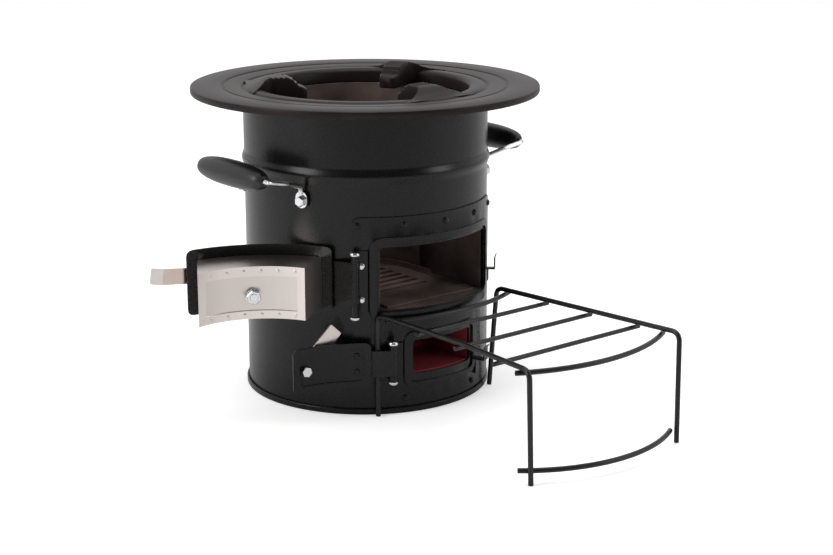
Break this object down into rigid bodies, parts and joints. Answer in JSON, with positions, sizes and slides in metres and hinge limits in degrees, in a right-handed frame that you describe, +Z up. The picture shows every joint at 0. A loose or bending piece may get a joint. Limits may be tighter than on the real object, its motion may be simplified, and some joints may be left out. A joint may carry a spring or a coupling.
{
  "type": "rocket stove",
  "caption": "Round insulated rocket stove with a cast hob plate, side handles, a hinged fuel door, a hinged air door with swing latches, and a loose wire fuel rack.",
  "frame": {"origin": "centre of the base pan's flat underside, on the floor under the drum's axis", "axes": "+Z up along the drum's axis, -Y towards the open front (fuel rack side), +X to the right seen from above with -Y towards the viewer"},
  "size_m": [0.4359, 0.5451, 0.3215],
  "materials": {
    "black_paint": "satin",
    "cast_plate": "matte",
    "brushed_steel": "brushed",
    "zinc": "bright",
    "burner_metal": "matte",
    "duct_metal": "satin",
    "insulation": "matte",
    "grip_plastic": "satin",
    "rack_wire": "satin"
  },
  "bodies": {
    "stove": {"base_pan": "black_paint", "drum_shell": "black_paint", "door_surround": "black_paint", "insulation": "insulation", "riser_tube": "burner_metal", "burner_well": "burner_metal", "fuel_magazine": "burner_metal", "fuel_grate": "burner_metal", "ash_box": "duct_metal", "air_duct": "duct_metal", "hob_plate": "cast_plate", "handle_rod_left": "zinc", "handle_rod_right": "zinc", "handle_grip_left": "grip_plastic", "handle_grip_right": "grip_plastic", "handle_bolt_1": "zinc", "handle_bolt_2": "zinc", "handle_bolt_3": "zinc", "handle_bolt_4": "zinc", "surround_rivet_top_1": "black_paint", "surround_rivet_top_2": "black_paint", "surround_rivet_top_3": "black_paint", "surround_rivet_top_4": "black_paint", "surround_rivet_top_5": "black_paint", "surround_rivet_foot_1": "black_paint", "surround_rivet_foot_2": "black_paint", "upper_hinge_leaf": "black_paint", "upper_hinge_pin": "zinc", "upper_hinge_screw_1": "zinc", "upper_hinge_screw_2": "zinc", "lower_hinge_leaf": "black_paint", "lower_hinge_pin": "zinc", "upper_keeper": "black_paint", "lower_keeper": "black_paint"},
    "upper_door": {"upper_door_arm": "black_paint", "upper_door_panel": "black_paint", "door_box_frame": "brushed_steel", "door_box_plate": "brushed_steel", "door_box_bolt": "zinc", "door_box_nut": "zinc", "upper_latch_bolt": "zinc"},
    "upper_latch": {"upper_latch_lever": "brushed_steel"},
    "lower_door": {"lower_door_arm": "black_paint", "lower_door_panel": "black_paint", "lower_arm_screw_1": "black_paint", "lower_arm_screw_2": "black_paint", "lower_latch_bolt": "zinc"},
    "lower_latch": {"lower_latch_lever": "brushed_steel"},
    "fuel_rack": {"rack_side_left": "rack_wire", "rack_side_right": "rack_wire", "rack_bar_1": "rack_wire", "rack_bar_2": "rack_wire", "rack_bar_3": "rack_wire", "rack_rear_arc": "rack_wire", "rack_front_arc_top": "rack_wire", "rack_front_arc_foot": "rack_wire"}
  },
  "joints": [
    {"name": "upper_door_hinge", "type": "hinge", "parent": "stove", "child": "upper_door", "pos_m": [-0.09139, -0.098, 0.134], "axis": [0, 0, -1], "range_deg": [-214, 0]},
    {"name": "lower_door_hinge", "type": "hinge", "parent": "stove", "child": "lower_door", "pos_m": [-0.06125, -0.11918, 0.055], "axis": [0, 0, -1], "range_deg": [-201.5, 0]},
    {"name": "upper_latch_pivot", "type": "hinge", "parent": "upper_door", "child": "upper_latch", "pos_m": [-0.2005, 0.00007, 0.143], "axis": [0.165, 0.9863, 0], "range_deg": [-22.2, 22]},
    {"name": "lower_latch_pivot", "type": "hinge", "parent": "lower_door", "child": "lower_latch", "pos_m": [-0.14002, -0.07948, 0.054], "axis": [0.1685, 0.9857, 0], "range_deg": [-147.6, 4]},
    {"name": "fuel_rack_lift", "type": "slide", "parent": "stove", "child": "fuel_rack", "axis": [0, 0, 1], "range_m": [0, 0.12]}
  ]
}
